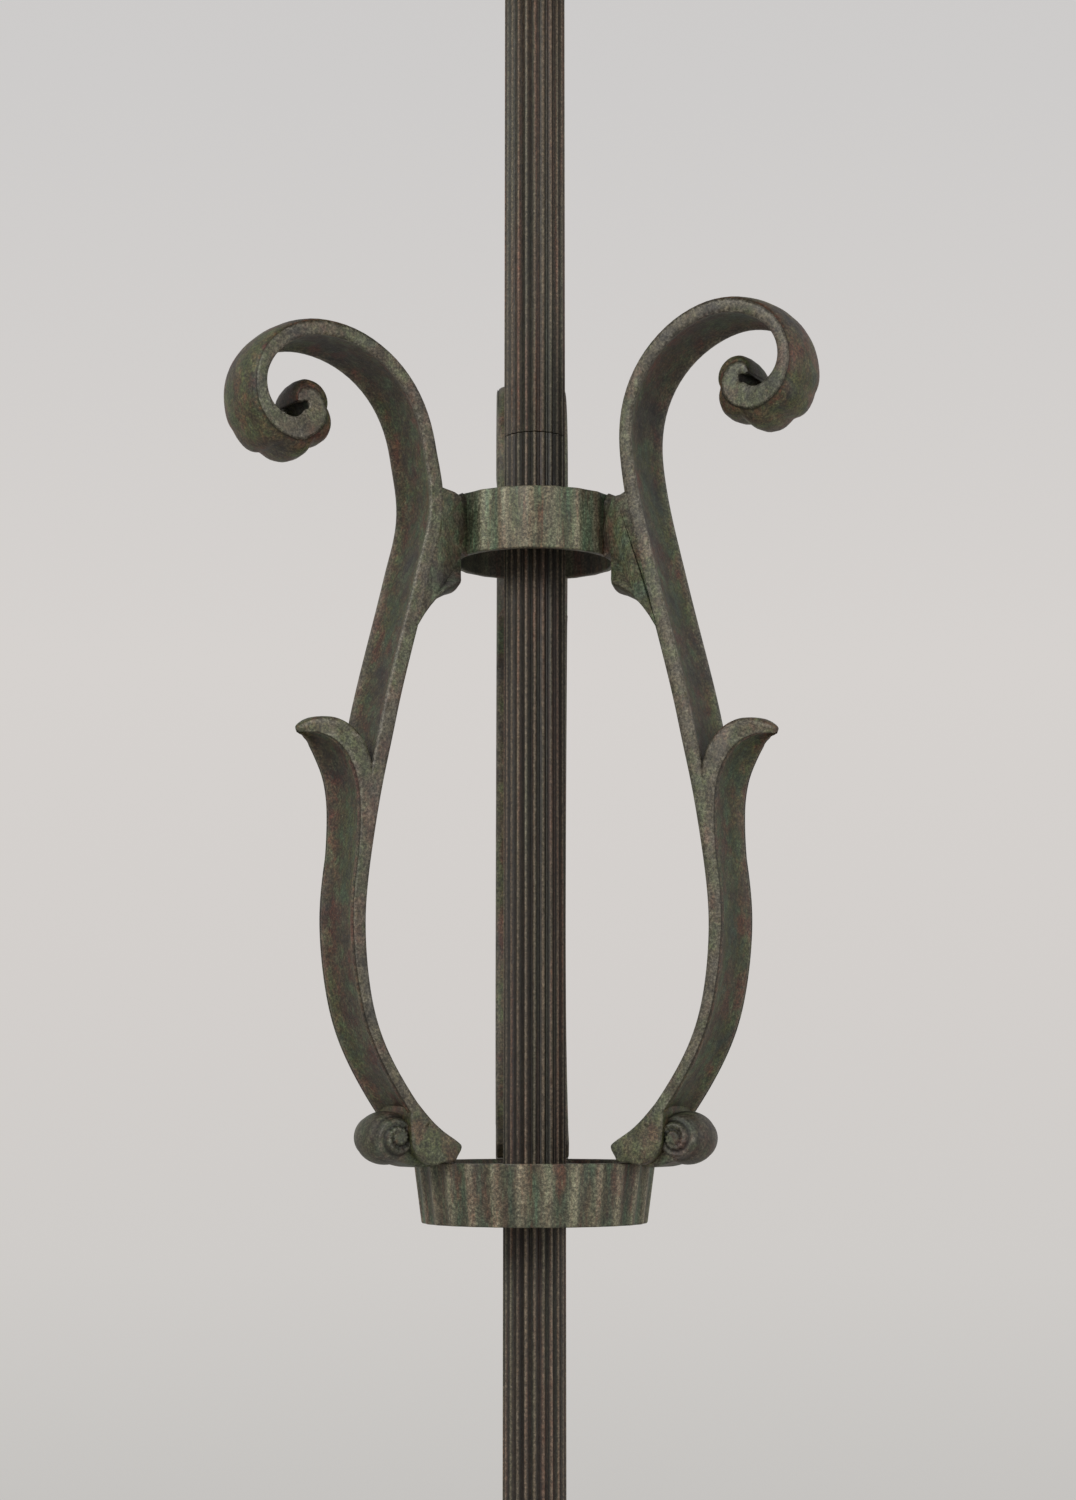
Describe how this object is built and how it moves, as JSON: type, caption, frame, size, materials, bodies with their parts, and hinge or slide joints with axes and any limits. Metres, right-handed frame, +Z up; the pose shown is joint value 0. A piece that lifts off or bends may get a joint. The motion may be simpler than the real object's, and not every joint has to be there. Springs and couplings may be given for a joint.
{
  "type": "torchiere floor lamp",
  "caption": "Patinated bronze torchiere floor lamp with a fluted stem through an open lyre ornament, a weighted round base and an uplight bowl.",
  "frame": {"origin": "centre of the felt pad's underside, on the floor, on the stem's axis", "axes": "+Z up along the stem, -Y to the front, between the left and right arms of the lyre, +X to the right"},
  "size_m": [0.43, 0.43, 1.6747],
  "materials": {
    "felt_pad": "felt",
    "base_weight": "rough",
    "cable_gland": "satin",
    "base_washer": "satin",
    "base_nut": "satin",
    "terminal_block": "matt",
    "draw_pipe": "satin",
    "inner_lead": "matt",
    "stem_coupler": "satin",
    "lyre_grub_screw": "satin",
    "bowl_washer": "satin",
    "bowl_nut": "satin",
    "holder_cap": "satin",
    "holder_body": "gloss",
    "holder_contact": "satin",
    "lamp_cap": "satin",
    "lamp_glass": "opal",
    "switch_knob": "gloss",
    "foot_stud_left": "satin",
    "foot_stud_right": "satin",
    "foot_stud_rear": "satin",
    "base_ring": "dark green-brown patina",
    "base_dome": "dark green-brown patina",
    "base_collar": "dark green-brown patina",
    "lower_stem": "dark green-brown patina",
    "upper_stem": "dark green-brown patina",
    "lyre_lower_ring": "dark green-brown patina",
    "lyre_upper_ring": "dark green-brown patina",
    "lyre_arm_left": "dark green-brown patina",
    "lyre_arm_right": "dark green-brown patina",
    "lyre_arm_rear": "dark green-brown patina",
    "ring_pin_left": "dark green-brown patina",
    "ring_pin_right": "dark green-brown patina",
    "ring_pin_rear": "dark green-brown patina",
    "crown_cup": "dark green-brown patina",
    "crown_ring": "dark green-brown patina",
    "bowl": "dark green-brown patina",
    "bowl_rim": "dark green-brown patina"
  },
  "bodies": {
    "lamp": {"felt_pad": "felt_pad", "base_weight": "base_weight", "cable_gland": "cable_gland", "base_washer": "base_washer", "base_nut": "base_nut", "terminal_block": "terminal_block", "draw_pipe": "draw_pipe", "inner_lead": "inner_lead", "stem_coupler": "stem_coupler", "lyre_grub_screw": "lyre_grub_screw", "bowl_washer": "bowl_washer", "bowl_nut": "bowl_nut", "holder_cap": "holder_cap", "holder_body": "holder_body", "holder_contact": "holder_contact", "lamp_cap": "lamp_cap", "lamp_glass": "lamp_glass", "foot_stud_left": "foot_stud_left", "foot_stud_right": "foot_stud_right", "foot_stud_rear": "foot_stud_rear", "base_ring": "base_ring", "base_dome": "base_dome", "base_collar": "base_collar", "lower_stem": "lower_stem", "upper_stem": "upper_stem", "lyre_lower_ring": "lyre_lower_ring", "lyre_upper_ring": "lyre_upper_ring", "lyre_arm_left": "lyre_arm_left", "lyre_arm_right": "lyre_arm_right", "lyre_arm_rear": "lyre_arm_rear", "ring_pin_left": "ring_pin_left", "ring_pin_right": "ring_pin_right", "ring_pin_rear": "ring_pin_rear", "crown_cup": "crown_cup", "crown_ring": "crown_ring", "bowl": "bowl", "bowl_rim": "bowl_rim"},
    "switch": {"switch_knob": "switch_knob"}
  },
  "joints": [
    {"name": "switch_turn", "type": "hinge", "parent": "lamp", "child": "switch", "pos_m": [0.0195, 0, 1.54704], "axis": [1, 0, 0], "range_deg": [0, 90]}
  ]
}
